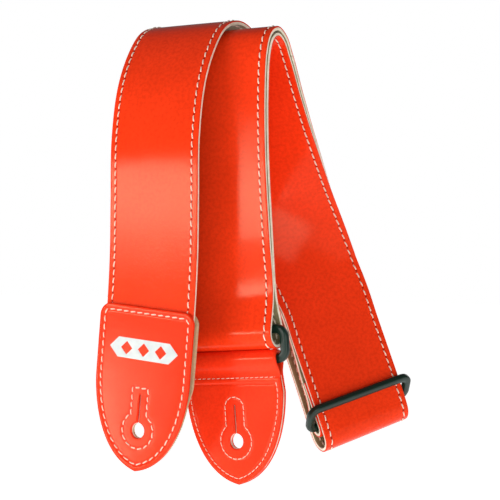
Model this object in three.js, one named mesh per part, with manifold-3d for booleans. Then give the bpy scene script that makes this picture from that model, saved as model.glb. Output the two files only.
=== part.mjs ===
// Adjustable guitar strap, hung over a peg by its two upper loops.
// Millimetres, +Z up, -Y towards the front. The origin is on top of the peg, under the right loop.
import * as THREE from 'three';
import { mergeVertices } from 'three/addons/utils/BufferGeometryUtils.js';
import Module from 'manifold-3d';

const wasm = await Module();
wasm.setup();

// Driving dimensions
const strapWidth = 51;
const faceThickness = 0.7; // glossy red face
const coreThickness = 0.8; // cream backing sheet
const liningThickness = 0.5; // suede lining
const laminateGap = 0.1; // glue line between two sheets
const strapThickness = faceThickness + coreThickness + liningThickness + 2 * laminateGap;
const threadWidth = 0.7;
const threadHeight = 0.25;
const threadInset = 3.2; // stitch line to strap edge
const layerSpacing = 3.2; // centre to centre where the strap lies double
const barDiameter = 4.4; // plastic ring and slider
const frameLength = 63; // outer length of the ring and the slider
const frameHeight = 18.8; // outer height of the ring and the slider
const frameCorner = 4.2; // corner radius of their centre line
const barSpacing = frameHeight - barDiameter;
const ringFoldRadius = 6.2; // centre line of the strap round the ring's upper bar
const sliderFoldRadius = 4; // centre line of the strap's sewn end round the slider's rear bar
const tabWidth = 55;
const tabBFoldWidth = 51; // tab B narrows to pass through the ring
const tabLeather = 1.3; // one leather of an end tab
const tabFiller = 1; // board between the two leathers of a tab
const tabGap = 0.2; // between the sheets of a tab
const tabStitchInset = 2.8;
const buttonHole = 7.6; // strap-button hole
const buttonSlit = 14; // slit above the hole
const slitWidth = 0.8;
const keyholeRadius = 8.9; // stitching round the hole
const keyholeNeck = 4.4; // half width of the stitching beside the slit
const keyholeTop = 20.8; // top of that stitching above the hole centre
const tabALength = 81;
const tabBLength = 64.8;
const tabAHoleHeight = 20.3; // hole centre above the tip
const tabBHoleHeight = 21.3;

const degree = Math.PI / 180;

const colours = {
  face: 0xe23418,
  core: 0xead2b6,
  lining: 0x7b7450,
  thread: 0xf6dccb,
  plastic: 0x12211a,
  tab: 0xf2452a,
  tabBack: 0xc9b08a,
  foil: 0xf4efe6,
};

// ---- The strap's route ----
// Each point is [x, y, z, yaw, lean]: the middle of the band, then the angles in degrees by which
// its width turns towards the back and rises to the right.

// From the free end in tab A up the front, over the wide left loop and down the back.
const leftRoute = [
  [-29.8, -35, -163, 0, -5],
  [-27.1, -35, -134, 0, -4.5],
  [-25.5, -35, -108, 0, -2],
  [-25, -35, -80, 0, 0],
  [-25, -34.2, -50, 0, 0],
  [-25, -29, -24, 0, 0],
  [-25, -19.5, -5.5, 0, 0],
  [-25, -8.5, 6, 0, 0],
  [-25, 5.8, 9.9, 0, 0],
  [-25, 19.5, 6, 0, 0],
  [-24.8, 29, -5.5, 0, 0],
  [-24.2, 35, -22, 0, 1],
  [-21.8, 40.6, -45, 3, 5],
  [-9, 50.2, -77, 19, 14],
  [3.8, 58.6, -105, 35, 17],
  [12.9, 62.6, -131, 46, 18],
  [19.8, 65.4, -155, 53, 17.6],
  [26.5, 68.3, -178, 54, 17],
];

// Middle of the doubled strap, from above the slider up the right-hand run, over the narrow right
// loop and down the front to the ring.
const doubledRoute = [
  [27.9, 56, -147, 54, 17],
  [22.9, 54, -131, 54, 17],
  [16.7, 51.1, -115, 50, 16],
  [6.6, 41.4, -82, 28, 11.5],
  [2.6, 30.3, -52, 12, 5.5],
  [1.1, 20.4, -28, 4, 2],
  [0.2, 12.4, -8.5, 0, 0],
  [0, 7, -0.2, 0, 0],
  [0, 0, 3, 0, 0],
  [0, -6.6, -0.2, 0, 0],
  [0, -10.6, -9, 0, 0],
  [0, -12.4, -26, 0, 0],
  [0.6, -13, -60, 0, 1.5],
  [2.8, -13, -98, 0, 3],
  [5, -13, -128, 0, 4],
];

// ---- Helpers ----

function material(colour, roughness) {
  return new THREE.MeshStandardMaterial({ color: colour, roughness, metalness: 0 });
}

function piece(name, geometry, colour, roughness) {
  const mesh = new THREE.Mesh(geometry, material(colour, roughness));
  mesh.name = name;
  return mesh;
}

// Turns a closed mesh into a solid for cutting and joining.
function solid(geometry) {
  const bare = geometry.index ? geometry.clone() : mergeVertices(geometry);
  bare.deleteAttribute('normal');
  bare.deleteAttribute('uv');
  const merged = mergeVertices(bare, 1e-4);
  return new wasm.Manifold(new wasm.Mesh({
    numProp: 3,
    vertProperties: new Float32Array(merged.attributes.position.array),
    triVerts: new Uint32Array(merged.index.array),
  }));
}

function fromSolid(shape) {
  const mesh = shape.getMesh();
  const geometry = new THREE.BufferGeometry();
  geometry.setAttribute('position', new THREE.BufferAttribute(mesh.vertProperties, 3));
  geometry.setIndex(new THREE.BufferAttribute(mesh.triVerts, 1));
  geometry.computeVertexNormals();
  return geometry;
}

// The band's frame: t along it, w across it to the right, n out of its red face.
function bandFrame(centre, tangent, yaw, lean) {
  const t = tangent.clone().normalize();
  const w = new THREE.Vector3(
    Math.cos(yaw * degree) * Math.cos(lean * degree),
    Math.sin(yaw * degree) * Math.cos(lean * degree),
    Math.sin(lean * degree),
  );
  w.addScaledVector(t, -w.dot(t)).normalize();
  return { centre, t, w, n: new THREE.Vector3().crossVectors(w, t) };
}

// Frames along a smooth curve through a route's points: one to a span, or more where it bends
// or twists.
function framesAlong(route, bend = 12, twist = 8) {
  const points = route.map(([x, y, z]) => new THREE.Vector3(x, y, z));
  const curve = new THREE.CatmullRomCurve3(points, false, 'centripetal');
  const spans = route.length - 1;
  const frames = [];
  const add = (low, part) => {
    const u = (low + part) / spans;
    const high = Math.min(low + 1, spans);
    const yaw = THREE.MathUtils.lerp(route[low][3], route[high][3], part);
    const lean = THREE.MathUtils.lerp(route[low][4], route[high][4], part);
    const frame = bandFrame(curve.getPoint(u), curve.getTangent(u), yaw, lean);
    frames.push({ ...frame, at: low + part });
  };
  for (let i = 0; i < spans; i += 1) {
    add(i, 0);
    const turn = curve.getTangent(i / spans).angleTo(curve.getTangent((i + 1) / spans));
    const turned = turn / degree / bend + Math.abs(route[i + 1][3] - route[i][3]) / twist;
    const steps = Math.min(3, 1 + Math.floor(turned));
    for (let k = 1; k < steps; k += 1) {
      add(i, k / steps);
    }
  }
  add(spans, 0);
  return frames;
}

// The same route, moved out along the band's normal.
function offsetRoute(route, amount) {
  return framesAlong(route, Infinity, Infinity).map(({ centre, n }, i) => {
    const moved = centre.clone().addScaledVector(n, amount);
    return [moved.x, moved.y, moved.z, route[i][3], route[i][4]];
  });
}

// A route point given in a frame: along it, out of its face, with the frame's own angles.
function pointIn(frame, angles, along, out) {
  const p = frame.centre.clone().addScaledVector(frame.t, along).addScaledVector(frame.n, out);
  return [p.x, p.y, p.z, ...angles];
}

// Points half round a bar whose axis is at [along, out] in a frame, turning from angle to angle.
function foldPoints(frame, angles, axis, radius, from, to, count) {
  const points = [];
  for (let i = 0; i < count; i += 1) {
    const a = THREE.MathUtils.lerp(from, to, i / (count - 1)) * degree;
    points.push(pointIn(frame, angles, axis[0] + radius * Math.sin(a), axis[1] + radius * Math.cos(a)));
  }
  return points;
}

// A closed strip: a section, drawn [across, out of the face] and counterclockwise, carried along
// frames. Its ends are fans from the apex point.
function strip(frames, section, apex = 0) {
  const positions = [];
  for (const { centre, w, n } of frames) {
    for (const [across, out] of section) {
      const p = centre.clone().addScaledVector(w, across).addScaledVector(n, out);
      positions.push(p.x, p.y, p.z);
    }
  }
  const sides = section.length;
  const index = [];
  for (let i = 0; i + 1 < frames.length; i += 1) {
    const rising = frames[i].t.z > 0;
    for (let k = 0; k < sides; k += 1) {
      const next = (k + 1) % sides;
      const [a, b] = [sides * i + k, sides * i + next];
      const [c, d] = [a + sides, b + sides];
      // Every side is split along the diagonal that leans the same way, so that sheets and layers
      // stay parallel in a twist.
      const onFront = section[next][0] < section[k][0];
      index.push(...(onFront === rising ? [a, c, b, b, c, d] : [a, c, d, a, d, b]));
    }
  }
  const end = sides * (frames.length - 1);
  for (let k = 1; k + 1 < sides; k += 1) {
    const [p, q] = [(apex + k) % sides, (apex + k + 1) % sides];
    index.push(apex, p, q, end + apex, end + q, end + p);
  }
  const geometry = new THREE.BufferGeometry();
  geometry.setAttribute('position', new THREE.Float32BufferAttribute(positions, 3));
  geometry.setIndex(index);
  geometry.computeVertexNormals();
  return geometry;
}

// ---- The strap ----

const half = strapThickness / 2;
const faceBack = half - faceThickness;
const coreFront = faceBack - laminateGap;
const coreBack = coreFront - coreThickness;
const liningFront = coreBack - laminateGap;
const edge = strapWidth / 2;
const stitchLine = edge - threadInset;
const sheets = {
  face: {
    section: [
      [-edge, faceBack], [edge, faceBack], [edge, half], [stitchLine, half],
      [-stitchLine, half], [-edge, half],
    ],
    apex: 0,
    roughness: 0.3,
  },
  core: {
    section: [[-edge, coreBack], [edge, coreBack], [edge, coreFront], [-edge, coreFront]],
    apex: 0,
    roughness: 0.9,
  },
  lining: {
    section: [
      [-edge, -half], [-stitchLine, -half], [stitchLine, -half], [edge, -half],
      [edge, liningFront], [-edge, liningFront],
    ],
    apex: 5,
    roughness: 1,
  },
};
const threadBack = half + laminateGap;
const threadFront = threadBack + threadHeight;

function threadSection(middle, back, front) {
  const side = (Math.sign(front - back) * threadWidth) / 2;
  return [[middle - side, back], [middle + side, back], [middle, front]];
}

// The three sheets and the stitching of one stretch of strap. The lining side is left unstitched
// where the strap is sewn together.
function strapPieces(name, frames, liningThreads) {
  const pieces = Object.entries(sheets).map(([sheet, { section, apex, roughness }]) => (
    piece(`${name}_${sheet}`, strip(frames, section, apex), colours[sheet], roughness)
  ));
  for (const [side, middle] of [['left', -stitchLine], ['right', stitchLine]]) {
    const needle = strip(frames, threadSection(middle, threadBack, threadFront));
    pieces.push(piece(`${name}_needle_thread_${side}`, needle, colours.thread, 0.8));
    if (liningThreads) {
      const bobbin = strip(frames, threadSection(middle, -threadBack, -threadFront));
      pieces.push(piece(`${name}_bobbin_thread_${side}`, bobbin, colours.thread, 0.8));
    }
  }
  return pieces;
}

// Frame of the slider: on the running strap's middle, level with the slider's rear bar.
const runAngles = [54, 17];
const runDirection = new THREE.Vector3(-0.316, -0.125, 1);
const sliderBase = bandFrame(new THREE.Vector3(42.4, 60.25, -189), runDirection, ...runAngles);
const rearBarOut = -(sliderFoldRadius + half + 1.9);
const frontBarOut = barDiameter / 2 + half + 0.6;
const frontBarAlong = Math.sqrt(barSpacing ** 2 - (frontBarOut - rearBarOut) ** 2);

const bendRadius = 7.5;
const lowerBend = foldPoints(
  sliderBase, runAngles, [-4.5, -bendRadius], bendRadius, 180, 360, 7,
);
const innerRoute = offsetRoute(doubledRoute, layerSpacing / 2);
const outerRoute = offsetRoute(doubledRoute, -layerSpacing / 2).reverse();

// Fold round the ring's upper bar, from behind it, under it and up in front.
const ringAngles = [0, 4];
const ringFoldCentre = new THREE.Vector3(6.2, -13, -146.9);
const ringRise = 2.5; // the ring's upper bar above the middle of the strap's fold
const ringBase = bandFrame(ringFoldCentre, new THREE.Vector3(-0.07, 0, 1), ...ringAngles);
const ringTop = ringFoldCentre.clone().addScaledVector(ringBase.t, ringRise);
const ringFold = foldPoints(ringBase, ringAngles, [0, 0], ringFoldRadius, 180, 360, 7);

// The end comes down behind the slider's rear bar, round it, and up inside, where it is sewn.
const tailLength = 24;
const leadIn = [
  pointIn(sliderBase, runAngles, tailLength, -5.8),
  pointIn(sliderBase, runAngles, 15, -6.4),
  pointIn(sliderBase, runAngles, 8, -8.7),
];
const sliderFold = foldPoints(
  sliderBase, runAngles, [0, rearBarOut], sliderFoldRadius, 180, 360, 7,
);
const tailOut = rearBarOut + sliderFoldRadius;
const tail = [
  pointIn(sliderBase, runAngles, 8, tailOut),
  pointIn(sliderBase, runAngles, tailLength, tailOut),
];

const wholeRoute = [
  ...leftRoute, ...lowerBend, ...innerRoute, ...ringFold, ...outerRoute,
  ...leadIn, ...sliderFold, ...tail,
];
const beforeOuter = leftRoute.length + lowerBend.length + innerRoute.length + ringFold.length;
const returnStart = beforeOuter + 8; // just behind the right loop's ridge
const endLoopStart = beforeOuter + outerRoute.length;
const allFrames = framesAlong(wholeRoute);

// The frames from one route point to another, starting a joint's gap late.
function stretch(from, to) {
  const frames = allFrames.filter(({ at }) => at >= from && at <= to);
  const [first, ...others] = frames;
  const gap = from === 0 ? 0 : 0.3;
  return [{ ...first, centre: first.centre.clone().addScaledVector(first.t, gap) }, ...others];
}

const strap = new THREE.Group();
strap.add(
  ...strapPieces('strap', stretch(0, returnStart), true),
  ...strapPieces('return', stretch(returnStart, endLoopStart), true),
);
const endFrames = stretch(endLoopStart, wholeRoute.length - 1);
const endLoop = new THREE.Group();
endLoop.add(...strapPieces('end_loop', endFrames, false));

// The cross seam that closes the end loop, on its back face above the slider.
const seamAlong = 19;
const seamFrame = endFrames[0];
const seamSteps = [-threadWidth / 2, threadWidth / 2].map((along) => ({
  ...seamFrame,
  centre: seamFrame.centre.clone().addScaledVector(seamFrame.t, along + tailLength - seamAlong),
}));
const seamHalf = stitchLine - threadWidth;
const seamSection = [
  [-seamHalf, threadBack], [seamHalf, threadBack], [seamHalf, threadFront], [-seamHalf, threadFront],
];
endLoop.add(piece(
  'end_loop_seam_thread', strip(seamSteps, seamSection), colours.thread, 0.8,
));

// ---- Ring and slider ----

// A rounded rectangle of bar, in the XZ plane, with its middle at the origin.
function barFrame() {
  const halfLength = (frameLength - barDiameter) / 2 - frameCorner;
  const halfHeight = barSpacing / 2 - frameCorner;
  const corners = [[1, 1, 0], [-1, 1, 90], [-1, -1, 180], [1, -1, 270]];
  const cornerSteps = 5;
  const r = barDiameter / 2;
  const flat = 0.414 * r;
  const section = [
    [r, -flat], [r, flat], [flat, r], [-flat, r], [-r, flat], [-r, -flat], [-flat, -r], [flat, -r],
  ];
  const positions = [];
  for (const [sx, sz, start] of corners) {
    for (let i = 0; i <= cornerSteps; i += 1) {
      const a = (start + (90 * i) / cornerSteps) * degree;
      const outX = Math.cos(a);
      const outZ = Math.sin(a);
      for (const [out, y] of section) {
        positions.push(
          sx * halfLength + (frameCorner + out) * outX,
          y,
          sz * halfHeight + (frameCorner + out) * outZ,
        );
      }
    }
  }
  const stations = corners.length * (cornerSteps + 1);
  const sides = section.length;
  const index = [];
  for (let i = 0; i < stations; i += 1) {
    const next = (i + 1) % stations;
    for (let k = 0; k < sides; k += 1) {
      const other = (k + 1) % sides;
      const a = sides * i + k;
      const b = sides * i + other;
      const c = sides * next + k;
      const d = sides * next + other;
      index.push(a, b, c, b, d, c);
    }
  }
  const geometry = new THREE.BufferGeometry();
  geometry.setAttribute('position', new THREE.Float32BufferAttribute(positions, 3));
  geometry.setIndex(index);
  geometry.computeVertexNormals();
  return geometry;
}

// Puts a group at a point, its X across the strap and its Z along up.
function placeGroup(group, origin, across, up) {
  const back = new THREE.Vector3().crossVectors(up, across);
  group.quaternion.setFromRotationMatrix(new THREE.Matrix4().makeBasis(across, back, up));
  group.position.copy(origin);
}

const ringGroup = new THREE.Group();
placeGroup(ringGroup, ringTop, ringBase.w, ringBase.t);
const ring = piece('ring', barFrame(), colours.plastic, 0.35);
ring.position.z = -barSpacing / 2;
ringGroup.add(ring);

const rearBar = sliderBase.centre.clone().addScaledVector(sliderBase.n, rearBarOut);
const sliderUp = new THREE.Vector3()
  .addScaledVector(sliderBase.t, frontBarAlong)
  .addScaledVector(sliderBase.n, frontBarOut - rearBarOut)
  .normalize();
const sliderGroup = new THREE.Group();
placeGroup(sliderGroup, rearBar, sliderBase.w, sliderUp);
const slider = piece('slider', barFrame(), colours.plastic, 0.35);
slider.position.z = barSpacing / 2;
sliderGroup.add(slider);

// ---- End tabs ----
// A tab is drawn in XZ with the middle of its point at [0, 0] and its top at [0, length].

const shoulder = 45; // where the straight sides start above the point
const topCorner = 6;

function tabOutline(length, inset, topWidth, corner) {
  const side = tabWidth / 2 - inset;
  const top = topWidth / 2 - inset;
  const height = length - inset - corner;
  const shape = new THREE.Shape();
  shape.moveTo(0, inset * 1.15);
  shape.bezierCurveTo(20 - inset, 4.5 + inset, 26.8 - inset, 28, side, shoulder);
  shape.absarc(top - corner, height, corner, 0, 90 * degree);
  shape.absarc(-top + corner, height, corner, 90 * degree, 180 * degree);
  shape.lineTo(-side, shoulder);
  shape.bezierCurveTo(-26.8 + inset, 28, -20 + inset, 4.5 + inset, 0, inset * 1.15);
  return shape;
}

// The strap-button hole with the slit above it.
function buttonCut(height) {
  const r = buttonHole / 2;
  const start = Math.asin(slitWidth / 2 / r);
  const path = new THREE.Path();
  path.moveTo(slitWidth / 2, height + r * Math.cos(start));
  path.absarc(0, height, r, 90 * degree - start, 90 * degree + start, true);
  path.lineTo(-slitWidth / 2, height + r + buttonSlit);
  path.lineTo(slitWidth / 2, height + r + buttonSlit);
  path.closePath();
  return path;
}

function keyholeOutline(height, grow) {
  const r = keyholeRadius + grow;
  const neck = keyholeNeck + grow;
  const start = Math.asin(neck / r);
  const top = height + keyholeTop + grow;
  const shape = new THREE.Shape();
  shape.moveTo(neck, height + r * Math.cos(start));
  shape.absarc(0, height, r, 90 * degree - start, 90 * degree + start, true);
  shape.lineTo(-neck, top);
  shape.lineTo(neck, top);
  shape.closePath();
  return shape;
}

// An outline's points, each only once where two of its curves meet, the given way round.
function tidyPoints(points, clockwise) {
  const apart = (p, q) => p.distanceTo(q) > 1e-3;
  const single = points.filter((p, i) => apart(p, points.at(i - 1)));
  return THREE.ShapeUtils.isClockWise(single) === clockwise ? single : single.reverse();
}

// Extrudes a shape drawn in XZ from one depth to another, front first.
function plate(outline, front, back, curveSegments = 10) {
  const drawn = outline.extractPoints(curveSegments);
  const shape = new THREE.Shape(tidyPoints(drawn.shape, false));
  shape.holes = drawn.holes.map((hole) => new THREE.Path(tidyPoints(hole, true)));
  const geometry = new THREE.ExtrudeGeometry(shape, {
    depth: back - front, bevelEnabled: false, curveSegments,
  });
  geometry.rotateX(90 * degree);
  geometry.translate(0, back, 0);
  return geometry;
}

function ribbon(outer, inner, front, back, curveSegments) {
  outer.holes.push(new THREE.Path(inner.getPoints(curveSegments)));
  return plate(outer, front, back, curveSegments);
}

function perimeterThread(length, front, topWidth, corner) {
  const outer = tabOutline(length, tabStitchInset - threadWidth / 2, topWidth, corner);
  const inner = tabOutline(length, tabStitchInset + threadWidth / 2, topWidth, corner);
  return ribbon(outer, inner, front - threadHeight, front, 8);
}

function keyholeThread(height, front) {
  const outer = keyholeOutline(height, threadWidth / 2);
  const inner = keyholeOutline(height, -threadWidth / 2);
  return ribbon(outer, inner, front - threadHeight, front, 12);
}

function cutPlate(length, height, topWidth, front, back, inset = 0) {
  const shape = tabOutline(length, inset, topWidth, topCorner);
  shape.holes.push(buttonCut(height));
  return plate(shape, front, back);
}

// Tab A: two leathers sewn over the strap's free end, with a filler below the end.
const tabA = new THREE.Group();
const tabATip = new THREE.Vector3(-34.8, -35, -213.4);
const tabAUp = new THREE.Vector3(0.095, 0, 1).normalize();
placeGroup(tabA, tabATip, new THREE.Vector3(tabAUp.z, 0, -tabAUp.x), tabAUp);
const tabAInner = threadFront + tabGap;
const tabAFront = -tabAInner - tabLeather;
const strapEndHeight = 47;
const plateA = (front, back, inset) => (
  cutPlate(tabALength, tabAHoleHeight, tabWidth, front, back, inset)
);
const aboveFillerA = new THREE.BoxGeometry(100, 10, 100);
aboveFillerA.translate(0, 0, strapEndHeight + 50);
const fillerA = solid(plateA(-half, half, 0.3)).subtract(solid(aboveFillerA));
const edgeThreadA = perimeterThread(tabALength, tabAFront - laminateGap, tabWidth, 3.6);
const keyholeThreadA = keyholeThread(tabAHoleHeight, tabAFront - laminateGap);
tabA.add(
  piece('tab_a_front', plateA(tabAFront, -tabAInner), colours.tab, 0.35),
  piece('tab_a_filler', fromSolid(fillerA), colours.core, 0.9),
  piece('tab_a_back', plateA(tabAInner, tabAInner + tabLeather), colours.tabBack, 0.9),
  piece('tab_a_edge_thread', edgeThreadA, colours.thread, 0.8),
  piece('tab_a_keyhole_thread', keyholeThreadA, colours.thread, 0.8),
);

// Foil ornament on tab A: a band with three lozenge openings.
const foil = new THREE.Shape([
  [-20, 0], [-15, 5], [15, 5], [20, 0], [15, -5], [-15, -5],
].map(([x, z]) => new THREE.Vector2(x, z + 60)));
for (const x of [-10, 0, 10]) {
  foil.holes.push(new THREE.Path([
    [x - 3.4, 60], [x, 63.4], [x + 3.4, 60], [x, 56.6],
  ].map(([px, pz]) => new THREE.Vector2(px, pz))));
}
tabA.add(piece(
  'tab_a_foil',
  plate(foil, tabAFront - laminateGap - 0.15, tabAFront - laminateGap),
  colours.foil, 0.5,
));

// Tab B: one leather folded round the ring's lower bar and closed over a filler.
const tabB = new THREE.Group();
tabB.position.z = -barSpacing;
const foldInner = barDiameter / 2 + 0.45;
const foldOuter = foldInner + tabLeather;
const sheetInner = tabFiller / 2 + tabGap;
const sheetOuter = sheetInner + tabLeather;
const drop = -7.4; // below the bar, where the two sides have come together
const tabBTip = -(tabBLength - foldOuter);
const fold = new THREE.Shape();
fold.moveTo(-sheetOuter, tabBTip - 1);
fold.lineTo(-sheetOuter, drop);
fold.bezierCurveTo(-sheetOuter, drop + 3, -foldOuter, -3.6, -foldOuter, 0);
fold.absarc(0, 0, foldOuter, 180 * degree, 0, true);
fold.bezierCurveTo(foldOuter, -3.6, sheetOuter, drop + 3, sheetOuter, drop);
fold.lineTo(sheetOuter, tabBTip - 1);
fold.lineTo(sheetInner, tabBTip - 1);
fold.lineTo(sheetInner, drop);
fold.bezierCurveTo(sheetInner, drop + 3, foldInner, -3.6, foldInner, 0);
fold.absarc(0, 0, foldInner, 0, 180 * degree, false);
fold.bezierCurveTo(-foldInner, -3.6, -sheetInner, drop + 3, -sheetInner, drop);
fold.lineTo(-sheetInner, tabBTip - 1);
fold.closePath();
const folded = new THREE.ExtrudeGeometry(new THREE.Shape(tidyPoints(fold.getPoints(8), false)), {
  depth: tabWidth + 4, bevelEnabled: false,
});
folded.rotateX(90 * degree);
folded.rotateZ(90 * degree);
folded.translate(-(tabWidth + 4) / 2, 0, 0);
const outlineB = plate(tabOutline(tabBLength, 0, tabBFoldWidth, 0.5), -9, 9);
outlineB.translate(0, 0, tabBTip);
const cutB = plate(new THREE.Shape(buttonCut(tabBHoleHeight).getPoints(10)), -9, 9);
cutB.translate(0, 0, tabBTip);
const leatherB = solid(folded).intersect(solid(outlineB)).subtract(solid(cutB));
const plateB = cutPlate(
  tabBLength, tabBHoleHeight, tabBFoldWidth, -tabFiller / 2, tabFiller / 2, 0.3,
);
plateB.translate(0, 0, tabBTip);
const aboveFillerB = new THREE.BoxGeometry(100, 10, 50);
aboveFillerB.translate(0, 0, drop + 25 - 0.5);
const fillerB = solid(plateB).subtract(solid(aboveFillerB));
const threadBFront = -sheetOuter - laminateGap;
const seamBTop = tabBLength + tabStitchInset - 12.5;
const edgeThreadB = perimeterThread(seamBTop, threadBFront, tabBFoldWidth + 1, 0.8);
edgeThreadB.translate(0, 0, tabBTip);
const keyholeThreadB = keyholeThread(tabBHoleHeight, threadBFront);
keyholeThreadB.translate(0, 0, tabBTip);
tabB.add(
  piece('tab_b_leather', fromSolid(leatherB), colours.tab, 0.35),
  piece('tab_b_filler', fromSolid(fillerB), colours.core, 0.9),
  piece('tab_b_edge_thread', edgeThreadB, colours.thread, 0.8),
  piece('tab_b_keyhole_thread', keyholeThreadB, colours.thread, 0.8),
);
ringGroup.add(tabB);

const model = new THREE.Group();
model.add(strap, endLoop, sliderGroup, ringGroup, tabA);
export default model;
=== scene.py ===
import math

import bpy
import numpy as np
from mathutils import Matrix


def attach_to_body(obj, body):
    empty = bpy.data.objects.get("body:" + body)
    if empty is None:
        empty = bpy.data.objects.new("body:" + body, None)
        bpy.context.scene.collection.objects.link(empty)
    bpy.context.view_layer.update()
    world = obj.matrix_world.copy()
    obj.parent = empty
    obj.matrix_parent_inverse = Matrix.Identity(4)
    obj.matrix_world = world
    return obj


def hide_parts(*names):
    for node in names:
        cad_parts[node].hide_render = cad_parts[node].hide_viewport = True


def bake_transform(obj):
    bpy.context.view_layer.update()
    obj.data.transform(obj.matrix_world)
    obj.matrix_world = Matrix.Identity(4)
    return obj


# Guitar strap hung over a peg: sewn band, ring, slider and two end tabs.
# Shapes are worked out in millimetres and put into the meshes in metres.

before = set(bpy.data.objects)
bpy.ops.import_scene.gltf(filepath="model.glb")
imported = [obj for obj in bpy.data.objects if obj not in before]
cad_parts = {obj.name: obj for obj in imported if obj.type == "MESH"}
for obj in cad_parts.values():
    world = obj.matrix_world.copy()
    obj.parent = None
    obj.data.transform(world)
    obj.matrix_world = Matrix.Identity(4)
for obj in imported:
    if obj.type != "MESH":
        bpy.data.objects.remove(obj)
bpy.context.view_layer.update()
print("frame loaded:", len(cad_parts), "nodes")

degree = math.pi / 180

# ---------- camera, floor and light ----------

view = {
    "lookAt": (13, -7, -104.7),
    "azimuth": 30,
    "distance": 700,
    "lens": 102.3,
}
floorHeight = -0.62
lights = {
    # name: azimuth, height above look point, distance, width, height, power, colour
    "frontSoftbox": (-30, 0.055, 0.75, 0.40, 0.108, 1.95, (1.0, 0.97, 0.94)),
    "lowSoftbox": (-42, -0.172, 0.75, 0.13, 0.145, 0.66, (1.0, 0.97, 0.94)),
    "rightSoftbox": (40, 0.0, 0.95, 0.55, 0.50, 3.1, (1.0, 0.98, 0.95)),
    "leftSoftbox": (-100, 0.15, 1.00, 0.50, 0.70, 1.7, (0.98, 0.99, 1.0)),
    "lowerFill": (5, -0.45, 0.90, 0.80, 0.40, 2.4, (1.0, 0.99, 0.98)),
    "topSoftbox": (30, 1.00, 0.35, 0.60, 0.60, 0.12, (1.0, 1.0, 1.0)),
    "backSoftbox": (185, 0.25, 1.10, 0.80, 0.60, 3.5, (1.0, 1.0, 1.0)),
}


def pointAt(obj, target):
    direction = np.array(target) - np.array(obj.location)
    yaw = math.atan2(direction[0], -direction[1])
    pitch = math.atan2(math.hypot(direction[0], direction[1]), -direction[2])
    obj.rotation_euler = (pitch, 0, yaw + math.pi)


def makeCamera():
    look = np.array(view["lookAt"]) * 0.001
    a = view["azimuth"] * degree
    data = bpy.data.cameras.new("camera")
    data.lens = view["lens"]
    data.sensor_width = 36
    data.clip_start = 0.01
    camera = bpy.data.objects.new("camera", data)
    camera.location = look + np.array((math.sin(a), -math.cos(a), 0)) * view["distance"] * 0.001
    bpy.context.scene.collection.objects.link(camera)
    pointAt(camera, look)
    bpy.context.scene.camera = camera
    return look


def makeLights(look):
    for name, (azimuth, rise, distance, width, height, power, colour) in lights.items():
        a = azimuth * degree
        data = bpy.data.lights.new(name, "AREA")
        data.shape = "RECTANGLE"
        data.size = width
        data.size_y = height
        data.energy = power
        data.color = colour
        lamp = bpy.data.objects.new(name, data)
        lamp.location = look + np.array((distance * math.sin(a), -distance * math.cos(a), rise))
        lamp.visible_camera = False
        bpy.context.scene.collection.objects.link(lamp)
        pointAt(lamp, look)


def makeFloor():
    size = 12
    mesh = bpy.data.meshes.new("floor")
    corners = [(-size, -size, floorHeight), (size, -size, floorHeight),
               (size, size, floorHeight), (-size, size, floorHeight)]
    mesh.from_pydata(corners, [], [(0, 1, 2, 3)])
    floor = bpy.data.objects.new("floor", mesh)
    bpy.context.scene.collection.objects.link(floor)
    material = bpy.data.materials.new("paleFloor")
    material.use_nodes = True
    surface = material.node_tree.nodes["Principled BSDF"]
    surface.inputs["Base Color"].default_value = (0.93, 0.93, 0.93, 1)
    surface.inputs["Roughness"].default_value = 0.9
    surface.inputs["Emission Color"].default_value = (1, 1, 1, 1)
    surface.inputs["Emission Strength"].default_value = 0.92
    mesh.materials.append(material)


def makeWorld():
    world = bpy.data.worlds.new("paleRoom")
    bpy.context.scene.world = world
    world.use_nodes = True
    tree = world.node_tree
    tree.nodes.clear()
    out = tree.nodes.new("ShaderNodeOutputWorld")
    mix = tree.nodes.new("ShaderNodeMixShader")
    path = tree.nodes.new("ShaderNodeLightPath")
    seen = tree.nodes.new("ShaderNodeBackground")
    lit = tree.nodes.new("ShaderNodeBackground")
    seen.inputs[0].default_value = (1, 1, 1, 1)
    seen.inputs[1].default_value = 1.0
    lit.inputs[0].default_value = (1, 1, 1, 1)
    lit.inputs[1].default_value = 0.15
    tree.links.new(path.outputs["Is Camera Ray"], mix.inputs[0])
    tree.links.new(lit.outputs[0], mix.inputs[1])
    tree.links.new(seen.outputs[0], mix.inputs[2])
    tree.links.new(mix.outputs[0], out.inputs[0])
    bpy.context.scene.view_settings.view_transform = "Standard"


lookPoint = makeCamera()
makeLights(lookPoint)
makeFloor()
makeWorld()
print("camera, floor and light made")

# ---------- shader groups ----------


def newGroup(name, inputs, outputs):
    tree = bpy.data.node_groups.new(name, "ShaderNodeTree")
    for label, kind, value in inputs:
        socket = tree.interface.new_socket(label, in_out="INPUT", socket_type=kind)
        if value is not None:
            socket.default_value = value
    for label, kind in outputs:
        tree.interface.new_socket(label, in_out="OUTPUT", socket_type=kind)
    return tree, tree.nodes.new("NodeGroupInput"), tree.nodes.new("NodeGroupOutput")


def mathNode(tree, operation, a, b=None, clamp=False):
    node = tree.nodes.new("ShaderNodeMath")
    node.operation = operation
    node.use_clamp = clamp
    for socket, value in zip(node.inputs, (a, b)):
        if value is None:
            continue
        if isinstance(value, (int, float)):
            socket.default_value = value
        else:
            tree.links.new(value, socket)
    return node.outputs[0]


def noiseNode(tree, vector, scale, detail=3, roughness=0.55):
    node = tree.nodes.new("ShaderNodeTexNoise")
    node.inputs["Detail"].default_value = detail
    node.inputs["Roughness"].default_value = roughness
    tree.links.new(vector, node.inputs["Vector"])
    if isinstance(scale, (int, float)):
        node.inputs["Scale"].default_value = scale
    else:
        tree.links.new(scale, node.inputs["Scale"])
    return node.outputs[0]


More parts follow.
